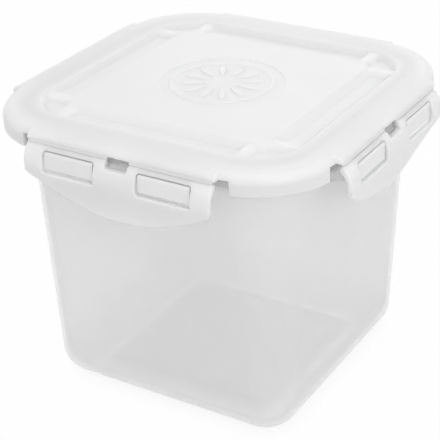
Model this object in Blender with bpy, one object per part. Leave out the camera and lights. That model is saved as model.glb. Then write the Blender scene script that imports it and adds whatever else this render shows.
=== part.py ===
"""Square clip-lid food box: a tapered tub, a lid with a seal, and four locking flaps on living hinges.

Metres, +Z up. The origin is the middle of the foot, on the surface that the box stands on.
The front flap faces -Y; the others follow it by quarter turns.
"""
import math

import bmesh
import bpy
from mathutils import Matrix, Vector

# Tub: outer sizes, measured over the faces
FOOT_HALF = 0.057
FOOT_CORNER = 0.014
FOOT_ROUND = 0.012
FOOT_RING = 0.0045
FOOT_RECESS = 0.0012
FOOT_EDGE = 0.003
RIM_HALF = 0.0642
RIM_CORNER = 0.0253
RIM_HEIGHT = 0.1226
RIM_ROUND = 0.0004
WALL = 0.0015
FLOOR = 0.0016

# Rim flange, and the locking tabs that hang on it behind each flap
FLANGE_CLEAR = 0.0008
FLANGE_THICK = 0.0014
FLANGE_DROP = 0.0016
TAB_SIDE_CLEAR = 0.0008
TAB_DROP = 0.0023
TAB_PLATE = 0.0016
TAB_LIP = 0.002
TAB_CHAMFER_RUN = 0.0008
TAB_CHAMFER_RISE = 0.00115
TAB_NOSE = 0.0007
HOOK_CLEAR = 0.0005
TAB_CHEEK = 0.0014
TAB_CHEEK_FALL = 0.0035

# Lid: how far it stands past the rim and above it, its ring groove and its raised square panel
LID_OVERHANG = 0.0102
LID_RISE = 0.0054
LID_THICK = 0.0016
EDGE_ROUND = 0.0045
SKIRT_DEPTH = 0.009
SKIRT_WALL = 0.0016
BORDER = 0.0156
GROOVE_WIDTH = 0.0126
GROOVE_DEPTH = 0.0025
GROOVE_SLOPE = 0.0024
PANEL_SLOPE = 0.0034
BRIDGE_INSET = 0.005
BRIDGE_WIDTH = 0.0048
BRIDGE_DROP = 0.0004
EMBLEM_RADIUS = 0.021
EMBLEM_WIDTH = 0.0012
EMBLEM_SINK = 0.0004

# Under the lid: the plug wall inside the tub's mouth, and the wall that keeps the seal in
PLUG_CLEAR = 0.001
PLUG_WALL = 0.0016
PLUG_DEPTH = 0.009
KEEPER_CLEAR = 0.0013
KEEPER_WALL = 0.0015
KEEPER_GAP = 0.0005
SEAL_BEAD = 0.0006

# Hinge bars, living hinges and flaps
BAR_STAND = 0.002
BAR_PAST_CORNER = 0.0031
BAR_REACH = 0.005
BAR_DEPTH = 0.0033
BAR_DROP = 0.0001
BAR_THICK = 0.0032
NOTCH_LENGTH = 0.0045
NOTCH_RISE = 0.0002
NOTCH_IN = 0.003
WEB_THICK = 0.00045
WEB_LENGTH = 0.0008
WEB_INSET = 0.001
FLAP_DEPTH = 0.025
FLAP_BULGE = 0.0038
FLAP_THICK = 0.002
LIP_RISE = 0.01567
LIP_CORNER = 0.004
POST_WIDTH = 0.0084
RIB_WIDTH = 0.0045
WINDOW_TOP = 0.0014
WINDOW_HEIGHT = 0.0089
NOTCH_HALF = 0.005
NOTCH_DEPTH = 0.0027

# Gap between pieces that touch, overlap of shapes that join, overrun of cuts
GAP = 0.0003
JOIN = 0.0007
OVERRUN = 0.004

# Face counts
CORNER_STEPS = 8
ROUND_STEPS = 4
LIP_STEPS = 16
EMBLEM_STEPS = 48
SMOOTH_ANGLE = math.radians(35)

# Flap section: depth below its top edge against how far it bulges, as shares of the two sizes
SECTION_SHARES = (
    (0.0, 0.0),
    (0.03, 0.3),
    (0.08, 0.56),
    (0.155, 0.8),
    (0.24, 0.95),
    (0.32, 1.0),
    (0.412, 0.93),
    (0.51, 0.7),
    (0.63, 0.38),
    (0.77, 0.13),
    (0.89, 0.03),
    (1.0, 0.09),
)
RAIL_INNER_SHARE = 0.65
RAIL_STEPS = 2

SIDES = ("front", "right", "back", "left")
QUARTER = math.radians(90)

# Tub places
FLOOR_TOP = FOOT_RECESS + FLOOR
RIM_INNER = RIM_HALF - WALL
FLANGE_TOP = RIM_HEIGHT - FLANGE_DROP
TAB_TOP = RIM_HEIGHT - TAB_DROP

# Lid places, all from the rim
LID_HALF = RIM_HALF + LID_OVERHANG
LID_TOP = RIM_HEIGHT + LID_RISE
LID_UNDER = LID_TOP - LID_THICK
CORNER_CENTRE = RIM_HALF - RIM_CORNER
FLANGE_HALF = LID_HALF - SKIRT_WALL - FLANGE_CLEAR
GROOVE_OUTER = LID_HALF - BORDER
PANEL_HALF = GROOVE_OUTER - GROOVE_WIDTH
BRIDGE_AT = PANEL_HALF - BRIDGE_INSET
PLUG_HALF = RIM_INNER - PLUG_CLEAR
KEEPER_HALF = RIM_HALF + KEEPER_CLEAR
KEEPER_LOW = FLANGE_TOP + KEEPER_GAP
SEAL_TOP = LID_UNDER - GAP
SEAL_LOW = RIM_HEIGHT + GAP

# Bar, hinge and flap places, all from the lid
BAR_FACE = LID_HALF + BAR_STAND
BAR_HALF = CORNER_CENTRE + BAR_PAST_CORNER
BAR_BOTTOM = LID_TOP - BAR_DEPTH
NOTCH_END = BAR_HALF + NOTCH_LENGTH
WEB_END = BAR_HALF - WEB_INSET
WEB_TOP = BAR_BOTTOM - GAP
WEB_BOTTOM = WEB_TOP - WEB_LENGTH
FLAP_TOP = WEB_BOTTOM - GAP
WEB_AXIS = BAR_BOTTOM - GAP / 2
FLAP_AXIS = WEB_BOTTOM - GAP / 2
SILL = FLAP_TOP - WINDOW_TOP - WINDOW_HEIGHT
WINDOW_START = NOTCH_HALF + RIB_WIDTH
WINDOW_END = BAR_HALF - POST_WIDTH
TAB_START = WINDOW_START + TAB_SIDE_CLEAR
TAB_END = WINDOW_END - TAB_SIDE_CLEAR


def clear_scene():
    for thing in list(bpy.data.objects):
        bpy.data.objects.remove(thing, do_unlink=True)


def material(name, colour, roughness, alpha=1.0):
    made = bpy.data.materials.new(name)
    made.use_nodes = True
    shader = made.node_tree.nodes["Principled BSDF"]
    shader.inputs["Base Color"].default_value = (*colour, 1.0)
    shader.inputs["Roughness"].default_value = roughness
    shader.inputs["Metallic"].default_value = 0.0
    shader.inputs["Alpha"].default_value = alpha
    return made


def new_object(name, bm, finish=None, smooth=True):
    bmesh.ops.recalc_face_normals(bm, faces=bm.faces)
    mesh = bpy.data.meshes.new(name)
    bm.to_mesh(mesh)
    bm.free()
    thing = bpy.data.objects.new(name, mesh)
    bpy.context.scene.collection.objects.link(thing)
    if finish:
        mesh.materials.append(finish)
    if smooth:
        mesh.shade_smooth()
        mesh.set_sharp_from_angle(angle=SMOOTH_ANGLE)
    return thing


def hide_tool(thing):
    thing.hide_render = True
    thing.display_type = "WIRE"


def boolean(target, tool, operation):
    step = target.modifiers.new(tool.name, "BOOLEAN")
    step.object = tool
    step.operation = operation
    step.solver = "EXACT"
    hide_tool(tool)


def ring(half, corner, z):
    """Points of a rounded square, anticlockwise from the middle of the corner at +X +Y."""
    points = []
    for turn in range(4):
        for step in range(CORNER_STEPS + 1):
            angle = QUARTER * (step / CORNER_STEPS)
            x = half - corner + corner * math.cos(angle)
            y = half - corner + corner * math.sin(angle)
            points.append(Matrix.Rotation(QUARTER * turn, 3, "Z") @ Vector((x, y, z)))
    return points


def lid_ring(half, z):
    """A ring whose corners share the centres of the rim's corners."""
    return ring(half, half - CORNER_CENTRE, z)


def loft(bm, rings, closed=False):
    """Skins a run of rings. The ends are capped, or joined to each other where the run is closed."""
    loops = [[bm.verts.new(point) for point in points] for points in rings]
    pairs = list(zip(loops, loops[1:]))
    if closed:
        pairs.append((loops[-1], loops[0]))
    else:
        bm.faces.new(loops[0])
        bm.faces.new(loops[-1])
    for low, high in pairs:
        count = len(low)
        for place in range(count):
            after = (place + 1) % count
            bm.faces.new((low[place], low[after], high[after], high[place]))


def prism(bm, outline, start, end, turn=0):
    """Runs an outline of (reach, height) points along the side from start to end; reach is towards -Y."""
    spin = Matrix.Rotation(QUARTER * turn, 3, "Z")
    ends = []
    for x in (start, end):
        ends.append([bm.verts.new(spin @ Vector((x, -reach, z))) for reach, z in outline])
    bm.faces.new(ends[0])
    bm.faces.new(list(reversed(ends[1])))
    count = len(outline)
    for place in range(count):
        after = (place + 1) % count
        bm.faces.new((ends[0][place], ends[1][place], ends[1][after], ends[0][after]))


def block(bm, low, high, turn=0):
    outline = [(low[1], low[2]), (high[1], low[2]), (high[1], high[2]), (low[1], high[2])]
    prism(bm, outline, low[0], high[0], turn)


def arc(centre, radius, start, end, steps):
    points = []
    for step in range(steps + 1):
        angle = start + (end - start) * step / steps
        points.append((centre[0] + radius * math.cos(angle), centre[1] + radius * math.sin(angle)))
    return points


def tub_wall(z, inset=0.0):
    """Ring of the tapered wall at a height, moved in by inset."""
    share = z / RIM_HEIGHT
    half = FOOT_HALF + (RIM_HALF - FOOT_HALF) * share - inset
    corner = FOOT_CORNER + (RIM_CORNER - FOOT_CORNER) * share - inset
    return half, max(corner, FOOT_EDGE)


def tub_rounding(radius, base, inset):
    """Rings of the rounding between the floor and the wall, from the floor up."""
    rings = []
    for step in range(ROUND_STEPS + 1):
        angle = QUARTER * step / ROUND_STEPS
        z = base + radius * (1 - math.cos(angle))
        half, corner = tub_wall(z, inset + radius * (1 - math.sin(angle)))
        rings.append(ring(half, corner, z))
    return rings


def tub_outside():
    flat, _ = tub_wall(0.0, FOOT_ROUND)
    recess = flat - FOOT_RING
    rings = [ring(recess, FOOT_EDGE, FOOT_RECESS), ring(recess, FOOT_EDGE, 0.0)]
    rings += tub_rounding(FOOT_ROUND, 0.0, 0.0)
    under = FLANGE_TOP - FLANGE_THICK
    rings.append(ring(*tub_wall(under), under))
    rings += [lid_ring(FLANGE_HALF, under), lid_ring(FLANGE_HALF, FLANGE_TOP)]
    rings.append(ring(RIM_HALF, RIM_CORNER, FLANGE_TOP))
    rings.append(ring(RIM_HALF, RIM_CORNER, RIM_HEIGHT - RIM_ROUND))
    rings.append(ring(RIM_HALF - RIM_ROUND, RIM_CORNER - RIM_ROUND, RIM_HEIGHT))
    return rings


def tub_inside():
    corner = RIM_CORNER - WALL
    rings = [ring(RIM_INNER + RIM_ROUND, corner + RIM_ROUND, RIM_HEIGHT)]
    rings.append(ring(RIM_INNER, corner, RIM_HEIGHT - RIM_ROUND))
    rings += reversed(tub_rounding(FOOT_ROUND - WALL, FLOOR_TOP, WALL))
    return rings


def tab_outline():
    """Section of a locking tab: a top plate with a lip that hangs at its edge, hooked underneath."""
    root = RIM_HALF - WALL / 2
    tip = tab_tip()
    under = SILL + HOOK_CLEAR
    inner = tip - TAB_LIP
    return [
        (root, TAB_TOP),
        (tip - TAB_NOSE, TAB_TOP),
        (tip, TAB_TOP - TAB_NOSE),
        (tip, under + TAB_CHAMFER_RISE),
        (tip - TAB_CHAMFER_RUN, under),
        (inner, under),
        (inner, TAB_TOP - TAB_PLATE),
        (root, TAB_TOP - TAB_PLATE),
    ]


def cheek_outline():
    """Section of a tab's end wall, which carries its lip back to the tub."""
    root = RIM_HALF - WALL / 2
    inner = tab_tip() - TAB_LIP
    high = TAB_TOP - TAB_PLATE + JOIN
    low = SILL + TAB_CHAMFER_RISE
    return [(root, high), (inner + JOIN, high), (inner + JOIN, low), (inner, low), (root, low - TAB_CHEEK_FALL)]


def tab_tip():
    """The lip reaches past the flap's inner face at the window sill by the hook's run."""
    return BAR_FACE + sill_inner() + TAB_CHAMFER_RUN


def build_tabs():
    bm = bmesh.new()
    for turn in range(4):
        for start, end in ((TAB_START, TAB_END), (-TAB_END, -TAB_START)):
            prism(bm, tab_outline(), start, end, turn)
    return new_object("tab_shapes", bm)


def build_cheeks():
    bm = bmesh.new()
    for turn in range(4):
        for side in (-1, 1):
            for edge in (TAB_START + JOIN, TAB_END - TAB_CHEEK - JOIN):
                ends = sorted((side * edge, side * (edge + TAB_CHEEK)))
                prism(bm, cheek_outline(), ends[0], ends[1], turn)
    return new_object("cheek_shapes", bm)


def build_tub(finish):
    bm = bmesh.new()
    loft(bm, tub_outside() + tub_inside())
    tub = new_object("tub", bm, finish)
    boolean(tub, build_tabs(), "UNION")
    boolean(tub, build_cheeks(), "UNION")
    return tub


def lid_outside():
    """Rings from the raised panel out over the groove and the border, and down the skirt."""
    floor = LID_TOP - GROOVE_DEPTH
    rings = [lid_ring(PANEL_HALF, LID_TOP), lid_ring(PANEL_HALF + PANEL_SLOPE, floor)]
    rings += [lid_ring(GROOVE_OUTER - GROOVE_SLOPE, floor), lid_ring(GROOVE_OUTER, LID_TOP)]
    for step in range(ROUND_STEPS + 1):
        angle = QUARTER * step / ROUND_STEPS
        half = LID_HALF - EDGE_ROUND * (1 - math.sin(angle))
        rings.append(lid_ring(half, LID_TOP - EDGE_ROUND * (1 - math.cos(angle))))
    rings.append(lid_ring(LID_HALF, LID_TOP - SKIRT_DEPTH))
    return rings


def lid_inside():
    """Rings from the skirt's inner face in under the border, round the seal's channel, to the panel."""
    skirt = LID_HALF - SKIRT_WALL
    keeper = KEEPER_HALF + KEEPER_WALL
    plug_low = LID_TOP - PLUG_DEPTH
    groove_under = LID_TOP - GROOVE_DEPTH - LID_THICK
    rings = [lid_ring(skirt, LID_TOP - SKIRT_DEPTH)]
    rings.append(lid_ring(skirt, LID_TOP - EDGE_ROUND))
    rings.append(lid_ring(keeper, LID_UNDER))
    rings += [lid_ring(keeper, KEEPER_LOW), lid_ring(KEEPER_HALF, KEEPER_LOW)]
    rings += [lid_ring(KEEPER_HALF, LID_UNDER), lid_ring(PLUG_HALF, LID_UNDER)]
    rings += [lid_ring(PLUG_HALF, plug_low), lid_ring(PLUG_HALF - PLUG_WALL, plug_low)]
    rings.append(lid_ring(PLUG_HALF - PLUG_WALL, LID_UNDER))
    rings.append(lid_ring(GROOVE_OUTER + LID_THICK / 2, LID_UNDER))
    rings.append(lid_ring(GROOVE_OUTER - GROOVE_SLOPE + LID_THICK / 2, groove_under))
    rings.append(lid_ring(PANEL_HALF + PANEL_SLOPE - LID_THICK / 2, groove_under))
    rings.append(lid_ring(PANEL_HALF - LID_THICK / 2, LID_UNDER))
    return rings


def build_side_relief():
    """Takes the skirt away behind each flap and beside its ends."""
    bm = bmesh.new()
    low = LID_TOP - SKIRT_DEPTH - OVERRUN
    high = BAR_BOTTOM + NOTCH_RISE
    for turn in range(4):
        block(bm, (-NOTCH_END, LID_HALF - NOTCH_IN, low), (NOTCH_END, LID_HALF + OVERRUN, high), turn)
    return new_object("side_relief", bm)


def bar_outline():
    """Section of a hinge bar: a rounded edge that runs out to the hinge line."""
    top = LID_TOP - BAR_DROP
    rise = top - BAR_BOTTOM
    outline = [(BAR_FACE - BAR_THICK, BAR_BOTTOM)]
    for step in range(ROUND_STEPS + 1):
        angle = QUARTER * (1 - step / ROUND_STEPS)
        reach = BAR_FACE - BAR_REACH * (1 - math.sin(angle))
        outline.append((reach, BAR_BOTTOM + rise * math.cos(angle)))
    inner = BAR_FACE - BAR_REACH - EDGE_ROUND
    outline += [(inner, top), (inner, LID_UNDER + BAR_DROP)]
    outline.append((BAR_FACE - BAR_REACH, LID_UNDER + BAR_DROP))
    return outline


def build_bars():
    bm = bmesh.new()
    for turn in range(4):
        prism(bm, bar_outline(), -BAR_HALF, BAR_HALF, turn)
    return new_object("bar_shapes", bm)


def build_bridges():
    """Low bridges that close the groove near each corner, which leaves a pocket in the corner."""
    bm = bmesh.new()
    low = LID_TOP - GROOVE_DEPTH - LID_THICK / 2
    high = LID_TOP - BRIDGE_DROP
    for turn in range(4):
        for side in (-1, 1):
            start = side * BRIDGE_AT - BRIDGE_WIDTH / 2
            reach = (PANEL_HALF - BRIDGE_DROP, GROOVE_OUTER + BRIDGE_DROP)
            block(bm, (start, reach[0], low), (start + BRIDGE_WIDTH, reach[1], high), turn)
    return new_object("bridge_shapes", bm)


def circle(radius, z):
    points = arc((0.0, 0.0), radius, 0.0, 4 * QUARTER, EMBLEM_STEPS)[:-1]
    return [Vector((x, y, z)) for x, y in points]


def build_emblem():
    """A plain ring sunk into the middle of the panel."""
    bm = bmesh.new()
    low = LID_TOP - EMBLEM_SINK
    high = LID_TOP + EMBLEM_SINK
    inner = EMBLEM_RADIUS - EMBLEM_WIDTH
    rings = [circle(EMBLEM_RADIUS, low), circle(EMBLEM_RADIUS, high), circle(inner, high), circle(inner, low)]
    loft(bm, rings, closed=True)
    return new_object("emblem_ring", bm)


def build_lid(finish):
    bm = bmesh.new()
    loft(bm, lid_outside() + lid_inside())
    lid = new_object("lid", bm, finish)
    boolean(lid, build_side_relief(), "DIFFERENCE")
    boolean(lid, build_bars(), "UNION")
    boolean(lid, build_bridges(), "UNION")
    boolean(lid, build_emblem(), "DIFFERENCE")
    return lid


def build_seal(finish):
    """Soft ring in the lid's channel, with a bead along its lower face where the tub's rim meets it."""
    inner = PLUG_HALF + GAP
    outer = KEEPER_HALF - GAP
    edge = SEAL_LOW + SEAL_BEAD
    rings = [lid_ring(inner, SEAL_TOP), lid_ring(outer, SEAL_TOP), lid_ring(outer, edge)]
    rings += [lid_ring(outer - SEAL_BEAD, SEAL_LOW), lid_ring(inner + SEAL_BEAD, SEAL_LOW)]
    rings.append(lid_ring(inner, edge))
    bm = bmesh.new()
    loft(bm, rings, closed=True)
    return new_object("seal", bm, finish)


def flap_outer():
    """Outer face of the flap in (reach past the hinge line, height) from its top edge down."""
    return [Vector((bulge * FLAP_BULGE, FLAP_TOP - depth * FLAP_DEPTH)) for depth, bulge in SECTION_SHARES]


def moved_in(points, distance):
    """The same line moved towards the tub by a distance along its own normals."""
    moved = []
    for place, point in enumerate(points):
        before = points[max(place - 1, 0)]
        after = points[min(place + 1, len(points) - 1)]
        along = (after - before).normalized()
        moved.append(point + Vector((along.y, -along.x)) * distance)
    return moved


def flap_outline():
    outer = flap_outer()
    inner = moved_in(outer, FLAP_THICK)[RAIL_STEPS + 1:]
    rail_inner = -FLAP_THICK * RAIL_INNER_SHARE
    rail = [Vector((rail_inner, FLAP_TOP)), Vector((rail_inner, outer[RAIL_STEPS].y))]
    return outer + list(reversed(rail + inner))


def sill_inner():
    """How far past the hinge line the flap's inner face stands at the window sill."""
    inner = moved_in(flap_outer(), FLAP_THICK)
    for high, low in zip(inner, inner[1:]):
        if low.y <= SILL <= high.y:
            return high.x + (low.x - high.x) * (high.y - SILL) / (high.y - low.y)
    return inner[-1].x


def lip_outline():
    """Outline below which the flap is cut away: a smiling lower edge with rounded ends, as (x, height)."""
    side = BAR_HALF - LIP_CORNER
    low = FLAP_TOP - FLAP_DEPTH
    high = low + LIP_RISE
    radius = (side ** 2 + LIP_RISE ** 2 - LIP_CORNER ** 2) / (LIP_RISE - LIP_CORNER) / 2
    swing = math.asin(side / (radius - LIP_CORNER))
    down = -QUARTER
    left = arc((-side, high), LIP_CORNER, 2 * down, down - swing, ROUND_STEPS)
    smile = arc((0.0, low + radius), radius, down - swing, down + swing, LIP_STEPS)[1:-1]
    right = arc((side, high), LIP_CORNER, down + swing, 0.0, ROUND_STEPS)
    over = BAR_HALF + OVERRUN
    below = low - OVERRUN
    return [(-over, below), (-over, high)] + left + smile + right + [(over, high), (over, below)]


def build_lip_cutter(origin):
    bm = bmesh.new()
    ends = []
    for reach in (-FLAP_THICK - OVERRUN, FLAP_BULGE + OVERRUN):
        ends.append([bm.verts.new(Vector((x, -reach, z)) - origin) for x, z in lip_outline()])
    bm.faces.new(ends[0])
    bm.faces.new(list(reversed(ends[1])))
    count = len(ends[0])
    for place in range(count):
        after = (place + 1) % count
        bm.faces.new((ends[0][place], ends[1][place], ends[1][after], ends[0][after]))
    return bm


def build_window_cutter(origin):
    """Two wide windows for the tabs, and a notch in the middle of the flap's top edge."""
    bm = bmesh.new()
    near, far = -FLAP_THICK - OVERRUN, FLAP_BULGE + OVERRUN
    for start, end in ((WINDOW_START, WINDOW_END), (-WINDOW_END, -WINDOW_START)):
        block(bm, (start, near, SILL), (end, far, SILL + WINDOW_HEIGHT))
    block(bm, (-NOTCH_HALF, near, FLAP_TOP - NOTCH_DEPTH), (NOTCH_HALF, far, FLAP_TOP + OVERRUN))
    bmesh.ops.translate(bm, vec=-origin, verts=bm.verts)
    return bm


def hinge_frame(name, turn, height):
    """An empty on a hinge axis, turned so that its -Y points away from the box."""
    frame = bpy.data.objects.new(name, None)
    spin = Matrix.Rotation(QUARTER * turn, 4, "Z")
    frame.location = spin @ Vector((0.0, -BAR_FACE, height))
    frame.rotation_euler = (0.0, 0.0, QUARTER * turn)
    bpy.context.scene.collection.objects.link(frame)
    return frame


def build_flap(side, turn, finish):
    """The flap, with its origin on its hinge axis at the living hinge's lower edge."""
    origin = Vector((0.0, 0.0, FLAP_AXIS))
    bm = bmesh.new()
    prism(bm, [tuple(point) for point in flap_outline()], -BAR_HALF, BAR_HALF)
    bmesh.ops.translate(bm, vec=-origin, verts=bm.verts)
    flap = new_object("flap_" + side, bm, finish)
    frame = hinge_frame("flap_axis_" + side, turn, FLAP_AXIS)
    tools = [("lip_cut_" + side, build_lip_cutter(origin)), ("window_cut_" + side, build_window_cutter(origin))]
    flap.parent = frame
    for name, shape in tools:
        tool = new_object(name, shape)
        tool.parent = frame
        boolean(flap, tool, "DIFFERENCE")
    return flap


def build_web(side, turn, hand, finish):
    """One of the two thin strips that the flap bends on, with its origin on the axis at the lid's bar."""
    start, end = (NOTCH_HALF, WEB_END) if hand == "right" else (-WEB_END, -NOTCH_HALF)
    bm = bmesh.new()
    block(bm, (start, -WEB_THICK, WEB_BOTTOM - WEB_AXIS), (end, 0.0, WEB_TOP - WEB_AXIS))
    web = new_object("hinge_web_" + side + "_" + hand, bm, finish)
    web.parent = hinge_frame("web_axis_" + side + "_" + hand, turn, WEB_AXIS)
    return web


def main():
    clear_scene()
    build_tub(material("tub_plastic", (0.74, 0.75, 0.75), 0.38, 0.6))
    build_lid(material("lid_plastic", (0.88, 0.89, 0.89), 0.42, 0.85))
    build_seal(material("seal_silicone", (0.9, 0.9, 0.88), 0.55, 0.9))
    flap_plastic = material("flap_plastic", (0.8, 0.81, 0.81), 0.4, 0.75)
    web_plastic = material("web_plastic", (0.84, 0.85, 0.85), 0.4, 0.8)
    for turn, side in enumerate(SIDES):
        build_flap(side, turn, flap_plastic)
        for hand in ("left", "right"):
            build_web(side, turn, hand, web_plastic)


main()
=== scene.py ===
"""Square clip-lid food box of milky polypropylene: tub, sealed lid, four locking flaps and its studio."""
import math

import bmesh
import bpy
import numpy as np
from bpy.props import FloatProperty, FloatVectorProperty, IntProperty, PointerProperty
from bpy.types import Operator, Panel, PropertyGroup
from mathutils import Matrix, Vector


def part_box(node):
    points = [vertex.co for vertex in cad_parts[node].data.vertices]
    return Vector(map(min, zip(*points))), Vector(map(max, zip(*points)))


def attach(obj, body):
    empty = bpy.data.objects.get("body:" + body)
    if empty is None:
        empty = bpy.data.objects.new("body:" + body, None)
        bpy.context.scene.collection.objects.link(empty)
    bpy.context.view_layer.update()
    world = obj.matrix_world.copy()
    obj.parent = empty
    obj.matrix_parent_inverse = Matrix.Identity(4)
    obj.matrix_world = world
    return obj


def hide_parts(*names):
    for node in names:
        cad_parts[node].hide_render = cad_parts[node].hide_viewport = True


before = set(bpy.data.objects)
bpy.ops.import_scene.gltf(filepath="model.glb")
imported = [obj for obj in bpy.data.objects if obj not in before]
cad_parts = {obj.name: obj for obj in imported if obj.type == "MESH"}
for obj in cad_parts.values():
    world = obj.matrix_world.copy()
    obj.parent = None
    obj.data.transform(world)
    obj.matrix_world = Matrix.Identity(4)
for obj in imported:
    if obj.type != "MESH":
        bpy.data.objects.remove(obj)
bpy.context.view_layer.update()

bl_info = {
    "name": "Clip-lid Food Box",
    "version": (1, 0, 0),
    "blender": (4, 5, 0),
    "location": "3D View > Sidebar > Food Box",
    "description": "Builds a milky plastic food box with a sealed lid and four locking flaps",
    "category": "Add Mesh",
}

QUARTER = math.radians(90)
SIDES = ("front", "right", "back", "left")

# Places read from the frame
LID_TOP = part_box("lid")[1].z
BAR_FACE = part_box("lid")[1].x
RIM_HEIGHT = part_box("tub")[1].z
TAB_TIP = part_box("tub")[1].x
SEAL_LOW, SEAL_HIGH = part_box("seal")
FLAP_LOW, FLAP_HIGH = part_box("flap_front")

# Points closer than the weld are one, and the rings beside an edge start this margin away from it
WELD = 1e-7
MARGIN = 0.003
# Points on a quarter arc of a section
ARC_POINTS = 11


def length(label, about, default):
    return FloatProperty(name=label, description=about, default=default, unit="LENGTH", precision=5)


def share(label, about, default):
    return FloatProperty(name=label, description=about, default=default, min=0.0, max=1.0, subtype="FACTOR")


def colour(label, about, default):
    return FloatVectorProperty(
        name=label, description=about, default=default, size=3, min=0.0, max=1.0, subtype="COLOR"
    )


class TubSizes(PropertyGroup):
    foot_half: length("Foot half width", "From the middle to the wall's face at the foot", 0.057)
    foot_corner: length("Foot corner", "Corner radius of the wall at the foot", 0.014)
    foot_round: length("Foot rounding", "Rounding between the foot and the wall", 0.012)
    foot_ring: length("Foot ring", "Width of the ring that the tub stands on", 0.0045)
    foot_recess: length("Foot recess", "Height of the recess inside the ring", 0.0012)
    rim_half: length("Rim half width", "From the middle to the wall's face at the rim", 0.0642)
    rim_corner: length("Rim corner", "Corner radius of the wall at the rim", 0.0253)
    rim_round: length("Rim rounding", "Rounding of the rim's edges", 0.0006)
    wall: length("Wall", "Thickness of the wall", 0.0015)
    floor: length("Floor", "Thickness of the floor", 0.0016)
    flange_half: length("Flange half width", "From the middle to the edge of the rim flange", 0.072)
    flange_drop: length("Flange drop", "From the rim down to the flange's top", 0.0016)
    flange_thick: length("Flange thickness", "Thickness of the rim flange", 0.0014)
    flange_round: length("Flange rounding", "Rounding of the flange's edges", 0.0003)


class TabSizes(PropertyGroup):
    middle: length("Tab place", "From the side's middle to the middle of a tab", 0.02155)
    width: length("Tab width", "Length of a tab along the side", 0.0225)
    drop: length("Tab drop", "From the rim down to the tab's top plate", 0.0012)
    plate: length("Tab plate", "Thickness of the top plate", 0.0016)
    lip: length("Tab lip", "Thickness of the lip that hangs from the plate", 0.002)
    low: length("Tab low", "Height of the lip's lower edge", 0.1135)
    bevel: length("Tab bevel", "Bevel along the upper edge, and how far the end walls stand in", 0.0007)
    edge: length("Tab edge", "Rounding of a tab's edges", 0.00022)
    hook_run: length("Hook run", "How far the hook's slope runs in", 0.0008)
    hook_rise: length("Hook rise", "How high the hook's slope is", 0.00115)
    cheek: length("Cheek", "Thickness of a tab's end walls", 0.0014)
    cheek_fall: length("Cheek fall", "How far an end wall slopes down to the tub", 0.0035)


class LidSizes(PropertyGroup):
    half: length("Lid half width", "From the middle to the face of the corner skirt", 0.0744)
    corner: length("Lid corner", "Corner radius of the lid", 0.0355)
    thick: length("Lid thickness", "Thickness of the lid's top", 0.0016)
    edge_round: length("Edge rounding", "Rounding of the lid's outer edge", 0.0045)
    fine_round: length("Fine rounding", "Rounding of the edges of bars, notches and skirts", 0.0003)
    skirt_depth: length("Skirt depth", "From the lid's top to the corner skirt's lower edge", 0.009)
    skirt_wall: length("Skirt wall", "Thickness of the corner skirt", 0.0016)
    groove_outer: length("Groove outer", "From the middle to the groove's outer edge", 0.0588)
    groove_depth: length("Groove depth", "From the lid's top to the groove's floor", 0.0025)
    groove_slope: length("Groove slope", "Width of the slope from the groove up to the edge", 0.0024)
    groove_round: length("Groove rounding", "Rounding at the groove's outer edge", 0.0016)
    panel_half: length("Panel half width", "From the middle to the raised panel's edge", 0.0462)
    panel_slope: length("Panel slope", "Width of the slope from the panel down to the groove", 0.0034)
    panel_round: length("Panel rounding", "Rounding of the panel's edge", 0.0009)
    bridge_at: length("Bridge place", "From the side's middle to a bridge across the groove", 0.0412)
    bridge_half: length("Bridge half width", "Half the width of a bridge", 0.0024)
    bridge_slope: length("Bridge slope", "Width of the slopes at a bridge's sides", 0.0018)
    bridge_drop: length("Bridge drop", "From the lid's top to the top of a bridge", 0.0004)
    bar_end: length("Bar end", "From the side's middle to the end of a hinge bar", 0.042)
    bar_round: length("Bar rounding", "Width of the arc on a hinge bar's upper edge", 0.005)
    bar_bottom: length("Bar bottom", "Height of a hinge bar's lower face", 0.1247)
    notch_end: length("Notch end", "From the side's middle to the start of the corner skirt", 0.0465)
    plug_half: length("Plug half width", "From the middle to the face of the plug wall", 0.0617)
    plug_wall: length("Plug wall", "Thickness of the plug wall", 0.0016)
    plug_depth: length("Plug depth", "From the lid's top to the plug wall's lower edge", 0.009)
    keeper_half: length("Keeper half width", "From the middle to the inner face of the keeper wall", 0.0655)
    keeper_wall: length("Keeper wall", "Thickness of the keeper wall", 0.0015)
    keeper_low: length("Keeper low", "Height of the keeper wall's lower edge", 0.1215)


class SealSizes(PropertyGroup):
    play: length("Seal play", "Gap between the seal and the plug wall", 0.0003)
    bead: length("Seal rounding", "Rounding of the seal's section", 0.0009)


class EmblemSizes(PropertyGroup):
    radius: length("Dish radius", "Radius of the shallow dish in the panel", 0.0262)
    depth: length("Dish depth", "Depth of the dish", 0.0004)
    petals: IntProperty(name="Petals", description="Petals of the rosette", default=12, min=3, max=40)
    petal_start: length("Petal start", "From the middle to the inner end of a petal", 0.0068)
    petal_end: length("Petal end", "From the middle to the outer end of a petal", 0.0178)
    petal_drop: length("Petal drop", "From the lid's top down to the top of a petal", 0.00005)
    ring_at: length("Ring place", "Radius of the raised ring's middle line", 0.0211)
    ring_width: length("Ring width", "Width of the raised ring", 0.0016)
    slope: length("Slope", "Width of the slopes at the ring and the dish's edge", 0.0004)


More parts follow.
